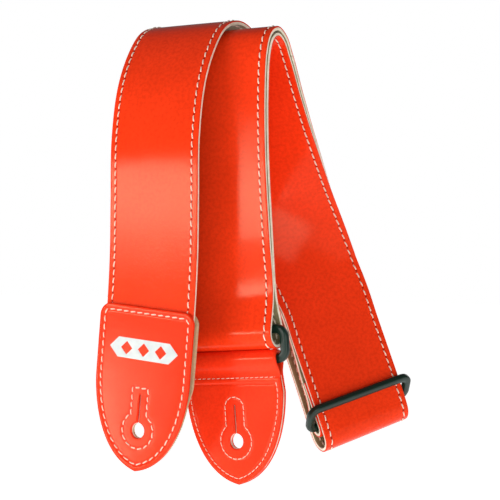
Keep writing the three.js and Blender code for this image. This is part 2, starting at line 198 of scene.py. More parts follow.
def remap(tree, value, low, high, toLow=0.0, toHigh=1.0):
    node = tree.nodes.new("ShaderNodeMapRange")
    tree.links.new(value, node.inputs[0])
    for i, number in enumerate((low, high, toLow, toHigh)):
        node.inputs[i + 1].default_value = number
    return node.outputs[0]


def mixColour(tree, factor, a, b):
    node = tree.nodes.new("ShaderNodeMix")
    node.data_type = "RGBA"
    for socket, value in ((node.inputs[0], factor), (node.inputs[6], a), (node.inputs[7], b)):
        if isinstance(value, (int, float)):
            socket.default_value = value
        elif isinstance(value, tuple):
            socket.default_value = (*value, 1)
        else:
            tree.links.new(value, socket)
    return node.outputs[2]


def makeGrainGroup():
    # Pebbled leather: small rounded cells broken up by fine noise, and a slow cloud for tone.
    tree, gin, gout = newGroup(
        "leatherGrain",
        [("Vector", "NodeSocketVector", None), ("Cells", "NodeSocketFloat", 1400.0),
         ("Cloud", "NodeSocketFloat", 45.0)],
        [("Height", "NodeSocketFloat"), ("Tone", "NodeSocketFloat"), ("Speck", "NodeSocketFloat")],
    )
    vector = gin.outputs["Vector"]
    cells = tree.nodes.new("ShaderNodeTexVoronoi")
    cells.feature = "SMOOTH_F1"
    cells.inputs["Smoothness"].default_value = 0.35
    tree.links.new(vector, cells.inputs["Vector"])
    tree.links.new(gin.outputs["Cells"], cells.inputs["Scale"])
    rounded = mathNode(tree, "SUBTRACT", 1.0, cells.outputs["Distance"])
    fine = noiseNode(tree, vector, mathNode(tree, "MULTIPLY", gin.outputs["Cells"], 0.55), 4)
    height = mathNode(tree, "ADD", mathNode(tree, "MULTIPLY", rounded, 0.55),
                      mathNode(tree, "MULTIPLY", fine, 0.75))
    tree.links.new(height, gout.inputs["Height"])
    cloud = noiseNode(tree, vector, gin.outputs["Cloud"], 3)
    tree.links.new(remap(tree, cloud, 0.3, 0.7), gout.inputs["Tone"])
    tree.links.new(remap(tree, fine, 0.42, 0.62), gout.inputs["Speck"])
    return tree


def makeFibreGroup():
    # Short crossed fibres for suede, backing cloth and thread: two stretched noises.
    tree, gin, gout = newGroup(
        "fibres",
        [("Vector", "NodeSocketVector", None), ("Scale", "NodeSocketFloat", 900.0)],
        [("Height", "NodeSocketFloat"), ("Tone", "NodeSocketFloat")],
    )
    vector = gin.outputs["Vector"]
    parts = []
    for turn, stretch in ((0.5, (1, 0.25, 1)), (-0.7, (1, 0.3, 1))):
        mapping = tree.nodes.new("ShaderNodeMapping")
        mapping.inputs["Rotation"].default_value = (0.2, 0.3, turn)
        mapping.inputs["Scale"].default_value = stretch
        tree.links.new(vector, mapping.inputs["Vector"])
        parts.append(noiseNode(tree, mapping.outputs[0], gin.outputs["Scale"], 4, 0.65))
    height = mathNode(tree, "MULTIPLY", mathNode(tree, "ADD", *parts), 0.5)
    tree.links.new(height, gout.inputs["Height"])
    nap = noiseNode(tree, vector, mathNode(tree, "MULTIPLY", gin.outputs["Scale"], 0.12), 3)
    tone = mathNode(tree, "ADD", mathNode(tree, "MULTIPLY", nap, 0.6),
                    mathNode(tree, "MULTIPLY", height, 0.6))
    tree.links.new(remap(tree, tone, 0.4, 0.8), gout.inputs["Tone"])
    return tree


def makeHolesGroup():
    # Needle holes along the two stitch lines of the band. The UV map is in metres: across the
    # band, then along it. The mask is 1 in the middle of a hole, where the leather gets painted
    # shade.
    tree, gin, gout = newGroup(
        "needleHoles",
        [("Vector", "NodeSocketVector", None), ("Line", "NodeSocketFloat", 0.0223),
         ("Spacing", "NodeSocketFloat", 0.0042), ("Radius", "NodeSocketFloat", 0.0006)],
        [("Mask", "NodeSocketFloat")],
    )
    split = tree.nodes.new("ShaderNodeSeparateXYZ")
    tree.links.new(gin.outputs["Vector"], split.inputs[0])
    across = mathNode(tree, "SUBTRACT", mathNode(tree, "ABSOLUTE", split.outputs["X"]),
                      gin.outputs["Line"])
    along = mathNode(tree, "DIVIDE", split.outputs["Y"], gin.outputs["Spacing"])
    along = mathNode(tree, "SUBTRACT", mathNode(tree, "FRACT", along), 0.5)
    along = mathNode(tree, "MULTIPLY", along, gin.outputs["Spacing"])
    squares = mathNode(tree, "ADD", mathNode(tree, "POWER", across, 2.0),
                       mathNode(tree, "POWER", along, 2.0))
    far = mathNode(tree, "DIVIDE", mathNode(tree, "SQRT", squares), gin.outputs["Radius"])
    mask = mathNode(tree, "SUBTRACT", 1.3, far, clamp=True)
    tree.links.new(mask, gout.inputs["Mask"])
    return tree


grainGroup = makeGrainGroup()
fibreGroup = makeFibreGroup()
holesGroup = makeHolesGroup()

# ---------- materials ----------


def srgb(r, g, b):
    return tuple(v / 12.92 if v <= 0.04045 else ((v + 0.055) / 1.055) ** 2.4
                 for v in (r / 255, g / 255, b / 255))


def startMaterial(name):
    material = bpy.data.materials.new(name)
    material.use_nodes = True
    tree = material.node_tree
    return material, tree, tree.nodes["Principled BSDF"]


def objectVector(tree):
    return tree.nodes.new("ShaderNodeTexCoord").outputs["Object"]


def uvVector(tree):
    node = tree.nodes.new("ShaderNodeUVMap")
    node.uv_map = "flat"
    return node.outputs[0]


def useGroup(tree, group, vector, **values):
    node = tree.nodes.new("ShaderNodeGroup")
    node.node_tree = group
    tree.links.new(vector, node.inputs["Vector"])
    for label, value in values.items():
        node.inputs[label].default_value = value
    return node


def bump(tree, surface, height, distance, strength=1.0):
    node = tree.nodes.new("ShaderNodeBump")
    node.inputs["Strength"].default_value = strength
    node.inputs["Distance"].default_value = distance
    tree.links.new(height, node.inputs["Height"])
    tree.links.new(node.outputs[0], surface.inputs["Normal"])


def leatherMaterial(name, look):
    # Coated leather: pebble grain, slow tone clouds, pores that catch less gloss, needle holes
    # with painted shade.
    material, tree, surface = startMaterial(name)
    vector = uvVector(tree) if look["holes"] else objectVector(tree)
    grain = useGroup(tree, grainGroup, vector, Cells=look["cells"], Cloud=look["cloud"])
    colour = mixColour(tree, grain.outputs["Tone"], look["dark"], look["light"])
    colour = mixColour(tree, mathNode(tree, "MULTIPLY", grain.outputs["Speck"], look["speck"]),
                       colour, look["deep"])
    height = grain.outputs["Height"]
    if look["holes"]:
        holes = useGroup(tree, holesGroup, vector)
        # Painted shade: the needle holes are darkened towards the hole colour, as the shade inside
        # them.
        colour = mixColour(tree, mathNode(tree, "MULTIPLY", holes.outputs["Mask"], 0.85),
                           colour, look["hole"])
        height = mathNode(tree, "SUBTRACT", height,
                          mathNode(tree, "MULTIPLY", holes.outputs["Mask"], 6.0))
    tree.links.new(colour, surface.inputs["Base Color"])
    gloss = remap(tree, grain.outputs["Speck"], 0, 1, look["rough"][0], look["rough"][1])
    tree.links.new(gloss, surface.inputs["Roughness"])
    surface.inputs["Coat Weight"].default_value = look["coat"]
    surface.inputs["Coat Roughness"].default_value = look["coatRoughness"]
    surface.inputs["Specular IOR Level"].default_value = look["specular"]
    surface.inputs["Specular Tint"].default_value = (1, 0.94, 0.58, 1)
    bump(tree, surface, height, look["bump"])
    return material


def clothMaterial(name, look):
    # Suede, backing or thread: crossed fibres in colour and bump, with a soft sheen.
    material, tree, surface = startMaterial(name)
    vector = objectVector(tree)
    fibres = useGroup(tree, fibreGroup, vector, Scale=look["scale"])
    colour = mixColour(tree, fibres.outputs["Tone"], look["dark"], look["light"])
    tree.links.new(colour, surface.inputs["Base Color"])
    surface.inputs["Roughness"].default_value = 0.95
    surface.inputs["Sheen Weight"].default_value = look["sheen"]
    surface.inputs["Sheen Roughness"].default_value = 0.4
    surface.inputs["Specular IOR Level"].default_value = 0.2
    bump(tree, surface, fibres.outputs["Height"], look["bump"])
    return material


def plasticMaterial(name, look):
    # Moulded plastic: very fine flow marks, faint scuffs that are duller and paler.
    material, tree, surface = startMaterial(name)
    vector = objectVector(tree)
    grain = useGroup(tree, grainGroup, vector, Cells=1900.0, Cloud=140.0)
    scuff = remap(tree, noiseNode(tree, vector, 420, 6, 0.75), 0.58, 0.72)
    colour = mixColour(tree, grain.outputs["Tone"], look["dark"], look["light"])
    colour = mixColour(tree, mathNode(tree, "MULTIPLY", scuff, 0.35), colour, look["scuff"])
    tree.links.new(colour, surface.inputs["Base Color"])
    tree.links.new(remap(tree, scuff, 0, 1, 0.3, 0.5), surface.inputs["Roughness"])
    surface.inputs["Specular IOR Level"].default_value = 0.32
    bump(tree, surface, grain.outputs["Height"], 0.00002)
    return material


def printMaterial(name):
    # Heat-pressed white print, rubbed thin at the grain's high spots.
    material, tree, surface = startMaterial(name)
    vector = objectVector(tree)
    grain = useGroup(tree, grainGroup, vector, Cells=1300.0, Cloud=160.0)
    wear = remap(tree, noiseNode(tree, vector, 520, 5, 0.7), 0.6, 0.75)
    colour = mixColour(tree, grain.outputs["Tone"], srgb(186, 194, 194), srgb(208, 212, 210))
    colour = mixColour(tree, mathNode(tree, "MULTIPLY", wear, 0.5), colour, srgb(240, 150, 130))
    tree.links.new(colour, surface.inputs["Base Color"])
    surface.inputs["Roughness"].default_value = 0.45
    bump(tree, surface, grain.outputs["Height"], 0.00004)
    return material


materials = {
    "red_face": leatherMaterial("glossyRedLeather", {
        "dark": srgb(228, 54, 18), "light": srgb(243, 59, 22), "deep": srgb(200, 38, 10),
        # hole: painted shade inside the needle holes.
        "hole": srgb(110, 22, 10), "speck": 0.35, "holes": True, "cells": 1050.0, "cloud": 30.0,
        "rough": (0.11, 0.18), "coat": 0.03, "coatRoughness": 0.15, "specular": 0.13,
        "bump": 0.00004,
    }),
    "tab_leather": leatherMaterial("satinRedLeather", {
        "dark": srgb(234, 48, 18), "light": srgb(244, 55, 24), "deep": srgb(208, 36, 12),
        # hole: painted shade for needle holes, not used here because holes is False.
        "hole": srgb(110, 22, 10), "speck": 0.3, "holes": False, "cells": 1100.0, "cloud": 40.0,
        "rough": (0.12, 0.2), "coat": 0.03, "coatRoughness": 0.15, "specular": 0.18,
        "bump": 0.00004,
    }),
    "cream_core": clothMaterial("creamBacking", {
        "dark": srgb(212, 196, 172), "light": srgb(250, 238, 220), "scale": 1500.0,
        "sheen": 0.1, "bump": 0.00012,
    }),
    "suede_lining": clothMaterial("suedeLining", {
        "dark": srgb(116, 106, 72), "light": srgb(164, 152, 114), "scale": 1100.0,
        "sheen": 0.35, "bump": 0.00025,
    }),
    "tab_back": clothMaterial("tabBackLeather", {
        "dark": srgb(168, 140, 104), "light": srgb(208, 184, 146), "scale": 800.0,
        "sheen": 0.15, "bump": 0.0001,
    }),
    "thread": clothMaterial("creamThread", {
        "dark": srgb(212, 186, 164), "light": srgb(246, 228, 210), "scale": 2600.0,
        "sheen": 0.2, "bump": 0.00008,
    }),
    "bar_plastic": plasticMaterial("greenBlackPlastic", {
        "dark": srgb(11, 32, 24), "light": srgb(17, 43, 33), "scuff": srgb(36, 58, 48),
    }),
    "foil": printMaterial("whitePrint"),
}
print("materials made:", len(materials))

# ---------- mesh helpers ----------


def makePiece(name, vertices, faces, slotName, uv=None):
    # Quads are shaded smooth. The n-gons that close an end are flat, with a sharp rim.
    mesh = bpy.data.meshes.new(name)
    mesh.from_pydata((np.asarray(vertices) * 0.001).tolist(), [], faces)
    mesh.validate(clean_customdata=False)
    sides = np.empty(len(mesh.polygons), np.int32)
    mesh.polygons.foreach_get("loop_total", sides)
    mesh.polygons.foreach_set("use_smooth", sides <= 4)
    if uv is not None:
        layer = mesh.uv_layers.new(name="flat")
        corner = np.empty(len(mesh.loops), np.int32)
        mesh.loops.foreach_get("vertex_index", corner)
        layer.data.foreach_set("uv", (np.asarray(uv)[corner] * 0.001).ravel())
    mesh.materials.append(materials[slotName])
    mesh.update()
    piece = bpy.data.objects.new(name, mesh)
    bpy.context.scene.collection.objects.link(piece)
    return piece


def tubeFaces(rings, sides, closedRings=False):
    # Quads of a grid of rings by sides, closed round its sides; n-gons close its two ends.
    i = np.arange(rings if closedRings else rings - 1)[:, None]
    k = np.arange(sides)[None, :]
    nextRing = (i + 1) % rings
    nextSide = (k + 1) % sides
    quads = np.stack([
        i * sides + k, i * sides + nextSide, nextRing * sides + nextSide, nextRing * sides + k,
    ], -1).reshape(-1, 4)
    faces = quads.tolist()
    if not closedRings:
        faces.append(list(range(sides))[::-1])
        faces.append(list(range((rings - 1) * sides, rings * sides)))
    return faces


# ---------- the band's route, the same as the solid model's ----------

leftRoute = np.array([
    [-29.8, -35, -163, 0, -5], [-27.1, -35, -134, 0, -4.5], [-25.5, -35, -108, 0, -2],
    [-25, -35, -80, 0, 0], [-25, -34.2, -50, 0, 0], [-25, -29, -24, 0, 0],
    [-25, -19.5, -5.5, 0, 0], [-25, -8.5, 6, 0, 0], [-25, 5.8, 9.9, 0, 0],
    [-25, 19.5, 6, 0, 0], [-24.8, 29, -5.5, 0, 0], [-24.2, 35, -22, 0, 1],
    [-21.8, 40.6, -45, 3, 5], [-9, 50.2, -77, 19, 14], [3.8, 58.6, -105, 35, 17],
    [12.9, 62.6, -131, 46, 18], [19.8, 65.4, -155, 53, 17.6], [26.5, 68.3, -178, 54, 17],
])
doubledRoute = np.array([
    [27.9, 56, -147, 54, 17], [22.9, 54, -131, 54, 17], [16.7, 51.1, -115, 50, 16],
    [6.6, 41.4, -82, 28, 11.5], [2.6, 30.3, -52, 12, 5.5], [1.1, 20.4, -28, 4, 2],
    [0.2, 12.4, -8.5, 0, 0], [0, 7, -0.2, 0, 0], [0, 0, 3, 0, 0], [0, -6.6, -0.2, 0, 0],
    [0, -10.6, -9, 0, 0], [0, -12.4, -26, 0, 0], [0.6, -13, -60, 0, 1.5],
    [2.8, -13, -98, 0, 3], [5, -13, -128, 0, 4],
])
band = {
    "width": 51, "face": 0.7, "core": 0.8, "lining": 0.5, "glue": 0.1,
    "threadInset": 3.2, "layerSpacing": 3.2, "ringStep": 1.3, "crown": 0.05,
}
hardware = {
    "bar": 4.4, "length": 63, "corner": 4.2, "spacing": 14.4,
    "ringFold": 6.2, "sliderFold": 4.0, "ringRise": 2.5,
}
half = (band["face"] + band["core"] + band["lining"]) / 2 + band["glue"]
edge = band["width"] / 2
stitchLine = edge - band["threadInset"]


def unit(v):
    return v / np.linalg.norm(v, axis=-1, keepdims=True)


def bandAxes(t, yaw, lean):
    # w across the band, turned towards the back by yaw and raised by lean, made square to t.
    t = unit(np.asarray(t, float))
    yaw = np.asarray(yaw) * degree
    lean = np.asarray(lean) * degree
    w = np.stack([np.cos(yaw) * np.cos(lean), np.sin(yaw) * np.cos(lean), np.sin(lean)], -1)
    w = unit(w - (w * t).sum(-1, keepdims=True) * t)
    return t, w, np.cross(w, t)


def smoothCurve(points, at):
    # Centripetal Catmull-Rom curve through the points, and its derivative, at span + fraction.
    last = len(points) - 1
    span = np.minimum(at.astype(int), last - 1)
    s = (at - span)[:, None]
    padded = np.vstack([2 * points[0] - points[1], points, 2 * points[-1] - points[-2]])
    p0, p1, p2, p3 = (padded[span + k] for k in range(4))
    d0, d1, d2 = (np.linalg.norm(b - a, axis=1, keepdims=True) ** 0.5
                  for a, b in ((p0, p1), (p1, p2), (p2, p3)))
    m1 = ((p1 - p0) / d0 - (p2 - p0) / (d0 + d1) + (p2 - p1) / d1) * d1
    m2 = ((p2 - p1) / d1 - (p3 - p1) / (d1 + d2) + (p3 - p2) / d2) * d1
    c2 = -3 * p1 + 3 * p2 - 2 * m1 - m2
    c3 = 2 * p1 - 2 * p2 + m1 + m2
    return p1 + m1 * s + c2 * s ** 2 + c3 * s ** 3, m1 + 2 * c2 * s + 3 * c3 * s ** 2


def offsetRoute(route, amount):
    at = np.arange(len(route), dtype=float)
    centre, t = smoothCurve(route[:, :3], at)
    n = bandAxes(t, route[:, 3], route[:, 4])[2]
    return np.hstack([centre + n * amount, route[:, 3:]])


def pointsIn(base, angles, along, out):
    centre, t, n = base["centre"], base["t"], base["n"]
    along, out = np.broadcast_arrays(np.asarray(along, float), np.asarray(out, float))
    p = centre + along[:, None] * t + out[:, None] * n
    return np.hstack([p, np.tile(angles, (len(p), 1))])


def foldPoints(base, angles, axis, radius):
    a = np.linspace(180, 360, 7) * degree
    return pointsIn(base, angles, axis[0] + radius * np.sin(a), axis[1] + radius * np.cos(a))


def baseFrame(centre, direction, angles):
    t, w, n = bandAxes(np.array(direction), *angles)
    return {"centre": np.array(centre, float), "t": t, "w": w, "n": n}


runAngles = (54, 17)
run = baseFrame((42.4, 60.25, -189), (-0.316, -0.125, 1), runAngles)
rearBarOut = -(hardware["sliderFold"] + half + 1.9)
frontBarOut = hardware["bar"] / 2 + half + 0.6
frontBarAlong = math.sqrt(hardware["spacing"] ** 2 - (frontBarOut - rearBarOut) ** 2)
ringAngles = (0, 4)
ringFrame = baseFrame((6.2, -13, -146.9), (-0.07, 0, 1), ringAngles)
ringTop = ringFrame["centre"] + hardware["ringRise"] * ringFrame["t"]

innerRoute = offsetRoute(doubledRoute, band["layerSpacing"] / 2)
outerRoute = offsetRoute(doubledRoute, -band["layerSpacing"] / 2)[::-1]
bendRadius = 7.5
lowerBend = foldPoints(run, runAngles, (-4.5, -bendRadius), bendRadius)
ringFold = foldPoints(ringFrame, ringAngles, (0, 0), hardware["ringFold"])
leadIn = pointsIn(run, runAngles, [24, 15, 8], [-5.8, -6.4, -8.7])
sliderFold = foldPoints(run, runAngles, (0, rearBarOut), hardware["sliderFold"])
tailOut = rearBarOut + hardware["sliderFold"]
tail = pointsIn(run, runAngles, [8, 24], [tailOut, tailOut])
wholeRoute = np.vstack([
    leftRoute, lowerBend, innerRoute, ringFold, outerRoute, leadIn, sliderFold, tail,
])
beforeOuter = len(leftRoute) + len(lowerBend) + len(innerRoute) + len(ringFold)
returnStart = beforeOuter + 8
endLoopStart = beforeOuter + len(outerRoute)


def smoothed(values, reach):
    kernel = np.hanning(2 * reach + 1)
    padded = np.pad(values, reach, mode="edge")
    return np.convolve(padded, kernel / kernel.sum(), "valid")


def sampleBand(start, stop, step):
    # Even steps along the curve from one route point to another, with the band's axes there.
    at = np.linspace(start, stop, int((stop - start) * 60) + 1)
    centre, t = smoothCurve(wholeRoute[:, :3], at)
    length = np.concatenate([[0], np.cumsum(np.linalg.norm(np.diff(centre, axis=0), axis=1))])
    count = int(length[-1] / step) + 1
    along = np.linspace(0, length[-1], count)
    where = np.interp(along, length, at)
    centre, t = smoothCurve(wholeRoute[:, :3], where)
    knots = np.arange(len(wholeRoute), dtype=float)
    fine = np.linspace(0, len(wholeRoute) - 1, (len(wholeRoute) - 1) * 20 + 1)
    yaw = np.interp(where, fine, smoothed(np.interp(fine, knots, wholeRoute[:, 3]), 9))
    lean = np.interp(where, fine, smoothed(np.interp(fine, knots, wholeRoute[:, 4]), 9))
    t, w, n = bandAxes(t, yaw, lean)
    return {"centre": centre, "t": t, "w": w, "n": n, "along": along, "length": length[-1]}


stretches = {
    "strap": sampleBand(0, returnStart, band["ringStep"]),
    "return": sampleBand(returnStart, endLoopStart, band["ringStep"]),
    "endLoop": sampleBand(endLoopStart, len(wholeRoute) - 1, band["ringStep"]),
}
for label, s in stretches.items():
    print("band stretch", label, "is", round(float(s["length"])), "mm long")

# ---------- sheets of the band ----------

stitch = {
    "spacing": 4.2, "length": 3.5, "radius": 0.36, "slant": 9, "groove": 0.16, "grooveWidth": 0.9,
    "lift": 0.02, "pressedLift": -0.25,
}
acrossSteps = np.concatenate([
    np.linspace(0, stitchLine - 1.8, 9),
    stitchLine + np.array([-1.2, -0.7, -0.3, 0, 0.3, 0.7, 1.2, 1.9]),
])


def sheetSection(width, low, high, roundHigh, roundLow):
    # Closed outline of one sheet: top from right to left, then underside from left to right,
    # with quarter-circle edges.
    turn = np.linspace(0, math.pi / 2, 5)
    flat = np.concatenate([-acrossSteps[::-1], acrossSteps[1:]])
    right = width / 2
    top = np.stack([flat[::-1], np.full(len(flat), high)], 1)
    under = np.stack([flat, np.full(len(flat), low)], 1)
    upperLeft = np.stack([-right + roundHigh - roundHigh * np.sin(turn),
                          high - roundHigh + roundHigh * np.cos(turn)], 1)
    lowerLeft = np.stack([-right + roundLow - roundLow * np.cos(turn),
                          low + roundLow - roundLow * np.sin(turn)], 1)
    mirror = np.array([-1, 1])
    return np.vstack([top, upperLeft, lowerLeft, under, lowerLeft[::-1] * mirror,
                      upperLeft[::-1] * mirror])


def bandSheet(name, s, section, slotName, side):
    # Point = centre + w * across + n * (out - groove). The groove is a dip along both stitch
    # lines, deepest under each stitch's middle.
    across = section[None, :, 0]
    out = section[None, :, 1]
    along = s["along"][:, None]
    dip = np.exp(-((np.abs(across) - stitchLine) / stitch["grooveWidth"]) ** 2)
    pull = 0.65 + 0.35 * np.cos(2 * math.pi * along / stitch["spacing"])
    crown = band["crown"] * np.cos(np.clip(across / stitchLine, -1, 1) * math.pi / 2)
    outer = np.abs(out - side * half) < 0.12
    out = out + outer * side * (crown - stitch["groove"] * dip * pull)
    p = (s["centre"][:, None] + s["w"][:, None] * across[..., None]
         + s["n"][:, None] * out[..., None])
    rings, sides = p.shape[:2]
    uv = np.stack(np.broadcast_arrays(across, along), -1).reshape(-1, 2)
    return makePiece(name, p.reshape(-1, 3), tubeFaces(rings, sides), slotName, uv)


# The backing fills the cut edge almost to the lining's back, and the lining ends just inside it.
faceBack = half - band["face"]
coreFront = faceBack - band["glue"]
coreBack = coreFront - band["core"]
liningFront = coreBack - band["glue"]
sections = {
    "face": (sheetSection(band["width"], faceBack, half, 0.45, 0.05), "red_face", 1),
    "core": (sheetSection(band["width"] - 0.1, -half + 0.12, coreFront + 0.04, 0.15, 0.3),
             "cream_core", 0),
    "lining": (sheetSection(band["width"] - 0.7, -half, liningFront, 0.08, 0.12),
               "suede_lining", -1),
}

# ---------- stitches ----------


def stitchMesh(name, centre, along, normal, look, slotName="thread"):
    # A capsule per stitch: s runs -1..1 along it, its height over the leather is a bow that
    # dips below the surface at both ends, and its radius tapers a little there.
    rings, sides = 9, 6
    s = np.linspace(-1, 1, rings)
    a = np.arange(sides) * 2 * math.pi / sides
    slant = look["slant"] * degree
    side = np.cross(normal, along)
    direction = along * math.cos(slant) + side * math.sin(slant)
    side = np.cross(normal, direction)
    r = look["radius"] * np.sqrt(np.clip(1.02 - np.abs(s) ** 5, 0.04, 1))
    bow = look["lift"] + look["radius"] * 0.9 - (look["radius"] * 2.2) * np.abs(s) ** 4
    size = np.asarray(look.get("size", 1.0)) * np.ones(len(centre))
    line = (centre[:, None] + direction[:, None] * (s * look["length"] / 2)[None, :, None]
            * size[:, None, None] + normal[:, None] * bow[None, :, None])
    ring = (side[:, None, None] * (r[:, None] * np.cos(a))[None, ..., None]
            + normal[:, None, None] * (r[:, None] * np.sin(a) * 0.8)[None, ..., None])
    p = line[:, :, None] + ring
    count = len(centre)
    one = tubeFaces(rings, sides)
    quads = np.array([f for f in one if len(f) == 4])
    ends = np.array([f for f in one if len(f) == sides])
    shift = (np.arange(count) * rings * sides)[:, None, None]
    faces = (quads[None] + shift).reshape(-1, 4).tolist()
    faces += (ends[None] + shift).reshape(-1, sides).tolist()
    return makePiece(name, p.reshape(-1, 3), faces, slotName)


def jitter(count, seed, amount):
    return 1 + np.random.default_rng(seed).uniform(-amount, amount, count)


def bandStitches(name, s, across, side, seed, lift):
    # One stitch to each spacing, between the needle holes, on the red side or on the lining. The
    # end loop's are pressed lower, because the lining of the running strap slides over them.
    spacing = stitch["spacing"]
    where = np.arange(spacing, s["length"] - spacing * 0.6, spacing)

    def take(key):
        return np.stack([np.interp(where, s["along"], s[key][:, i]) for i in range(3)], 1)

    w, n, t = unit(take("w")), unit(take("n")), unit(take("t"))
    centre = take("centre") + w * across + n * side * (half - stitch["groove"] * 0.7)
    look = {**stitch, "lift": lift, "size": jitter(len(where), seed, 0.06),
            "slant": stitch["slant"] * (1 if side > 0 else 1.6) * (1 if across > 0 else -1)}
    return stitchMesh(name, centre, t, n * side, look)


bandNames = {"strap": "strap", "return": "return", "endLoop": "end_loop"}
bandBodies = {"strap": "strap", "return": None, "endLoop": "end_loop"}


def attach(piece, label):
    if label == "return":
        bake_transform(piece)
    else:
        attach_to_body(piece, bandBodies[label])


for label, s in stretches.items():
    node = bandNames[label]
    made = {}
    for sheet, (section, slotName, side) in sections.items():
        piece = bandSheet(f"{label}{sheet.capitalize()}", s, section, slotName, side)
        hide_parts(f"{node}_{sheet}")
        attach(piece, label)
        made[sheet] = piece
    rows = [("needle", 1)] + ([("bobbin", -1)] if label != "endLoop" else [])
    for kind, side in rows:
        lift = stitch["pressedLift" if label == "endLoop" else "lift"]
        for hand, across in (("left", -stitchLine), ("right", stitchLine)):
            seed = 3 + len(made)
            row = bandStitches(f"{label}Stitches{kind.capitalize()}{hand.capitalize()}", s,
                               across, side, seed, lift)
            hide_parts(f"{node}_{kind}_thread_{hand}")
            attach(row, label)
            made[f"{kind}{hand}"] = row
    print("sewn band stretch", label)

# The cross seam that closes the end loop, on its back above the slider.
seam = {"along": 19, "depth": 6.2, "spacing": 3.4, "length": 2.8}
seamAcross = np.arange(-stitchLine + 2, stitchLine - 1, seam["spacing"])
seamBase = run["centre"] + run["t"] * seam["along"] - run["n"] * (seam["depth"] + half)
crossSeam = stitchMesh(
    "endLoopCrossSeam", seamBase + run["w"] * seamAcross[:, None],
    np.tile(run["w"], (len(seamAcross), 1)), np.tile(-run["n"], (len(seamAcross), 1)),
    {**stitch, "length": seam["length"], "lift": 0.0},
)
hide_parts("end_loop_seam_thread")
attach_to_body(crossSeam, "end_loop")

# ---------- ring and slider ----------

barLook = {"arcSteps": 14, "sides": 28, "depth": 3.6, "squareness": 3.2}


def barFrame(name, centre, across, up, body):
    # A moulded bar carried round a rounded rectangle. Its section is a superellipse,
    # |x/a|^p + |y/b|^p = 1, wider in the frame's plane than it is deep.
    back = np.cross(up, across)
    halfLength = (hardware["length"] - hardware["bar"]) / 2 - hardware["corner"]
    halfHeight = hardware["spacing"] / 2 - hardware["corner"]
    turn, middle = [], []
    for sx, sz, start in ((1, 1, 0), (-1, 1, 90), (-1, -1, 180), (1, -1, 270)):
        a = (start + np.linspace(0, 90, barLook["arcSteps"])) * degree
        turn.append(a)
        middle.append(np.tile([sx * halfLength, sz * halfHeight], (len(a), 1)))
    turn, middle = np.concatenate(turn), np.concatenate(middle)
    outward = np.stack([np.cos(turn), np.sin(turn)], 1)
    line = middle + outward * hardware["corner"]
    q = np.arange(barLook["sides"]) * 2 * math.pi / barLook["sides"]
    power = 2 / barLook["squareness"]
    inPlane = np.sign(np.cos(q)) * np.abs(np.cos(q)) ** power * hardware["bar"] / 2
    depth = np.sign(np.sin(q)) * np.abs(np.sin(q)) ** power * barLook["depth"] / 2
    flat = line[:, None] + outward[:, None] * inPlane[None, :, None]
    p = (centre + flat[..., :1] * across + flat[..., 1:] * up
         + (np.zeros(flat.shape[:2]) + depth)[..., None] * back)
    rings, sides = p.shape[:2]
    faces = tubeFaces(rings, sides, closedRings=True)
    piece = makePiece(f"{name}Frame", p.reshape(-1, 3), faces, "bar_plastic")
    piece.data.flip_normals()
    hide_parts(name)
    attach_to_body(piece, body)
    return piece


ringCentre = ringTop - ringFrame["t"] * hardware["spacing"] / 2
barFrame("ring", ringCentre, ringFrame["w"], ringFrame["t"], "ring")
rearBar = run["centre"] + run["n"] * rearBarOut
sliderUp = unit(run["t"] * frontBarAlong + run["n"] * (frontBarOut - rearBarOut))
barFrame("slider", rearBar + sliderUp * hardware["spacing"] / 2, run["w"], sliderUp, "slider")
print("ring and slider made")

# ---------- end tabs ----------

tab = {
    "width": 55, "leather": 1.3, "stitchInset": 3.0, "shoulder": 45, "corner": 6,
    "hole": 3.8, "slit": 14, "slitWidth": 0.8, "edgeRound": 0.55, "welt": 0.45,
    "strapEnd": 47, "groove": 0.3, "keyGroove": 0.22, "grooveWidth": 0.7, "pillow": 0.05,
    "rimShare": 0.025, "rimThickness": 0.25,
}
tabA = {
    "length": 81, "holeHeight": 20.3, "tip": (-34.8, -35, -213.4), "up": (0.095, 0, 1),
    "topWidth": 55, "keyRadius": 8.9, "keyNeck": 4.6, "keyTop": 21, "archTop": False,
    "close": 2.4,
}
tabB = {
    "length": 64.8, "holeHeight": 21.3, "topWidth": 51, "keyRadius": 8.7, "keyNeck": 5.2,
    "keyTop": 21.5, "archTop": True, "fold": 2.65, "drop": -7.4, "filler": 1.0, "swell": 0.68,
}


def bezier(p0, p1, p2, p3, count):
    s = np.linspace(0, 1, count)[:, None]
    points = [np.array(p, float) for p in (p0, p1, p2, p3)]
    weights = [(1 - s) ** 3, 3 * s * (1 - s) ** 2, 3 * s ** 2 * (1 - s), s ** 3]
    return sum(w * p for w, p in zip(weights, points))


def arc(centre, radius, start, stop, count):
    a = np.linspace(start, stop, count) * degree
    return np.array(centre) + radius * np.stack([np.cos(a), np.sin(a)], 1)


def sideAt(look, height):
    # Half width of a tab above its shoulder.
    share = np.clip((height - tab["shoulder"]) / (look["length"] - tab["shoulder"]), 0, 1)
    return (tab["width"] + (look["topWidth"] - tab["width"]) * share) / 2


def halfOutline(look, inset, corner, top=None):
    # Right half of a tab's outline, from its point up the side and in to the middle of its top.
    length = top or look["length"]
    side, height = tab["width"] / 2 - inset, length - inset
    top = sideAt(look, length) - inset
    corner = max(corner - inset, 0.4)
    return np.vstack([
        bezier((0, inset * 1.15), (20 - inset, 4.5 + inset), (26.8 - inset, 28),
               (side, tab["shoulder"]), 60),
        np.linspace((side, tab["shoulder"]), (top, height - corner), 24)[1:-1],
        arc((top - corner, height - corner), corner, 0, 90, 14),
        np.linspace((top - corner, height), (0, height), 20)[1:],
    ])


def evenly(points, count):
    # The same line cut into even steps, with the distance along it.
    far = np.concatenate([[0], np.cumsum(np.linalg.norm(np.diff(points, axis=0), axis=1))])
    at = np.linspace(0, far[-1], count)
    return np.stack([np.interp(at, far, points[:, i]) for i in range(2)], 1), at


def mirrored(right):
    # A closed loop from its right half.
    left = right[1:-1][::-1] * np.array([-1, 1])
    return np.vstack([right, left])


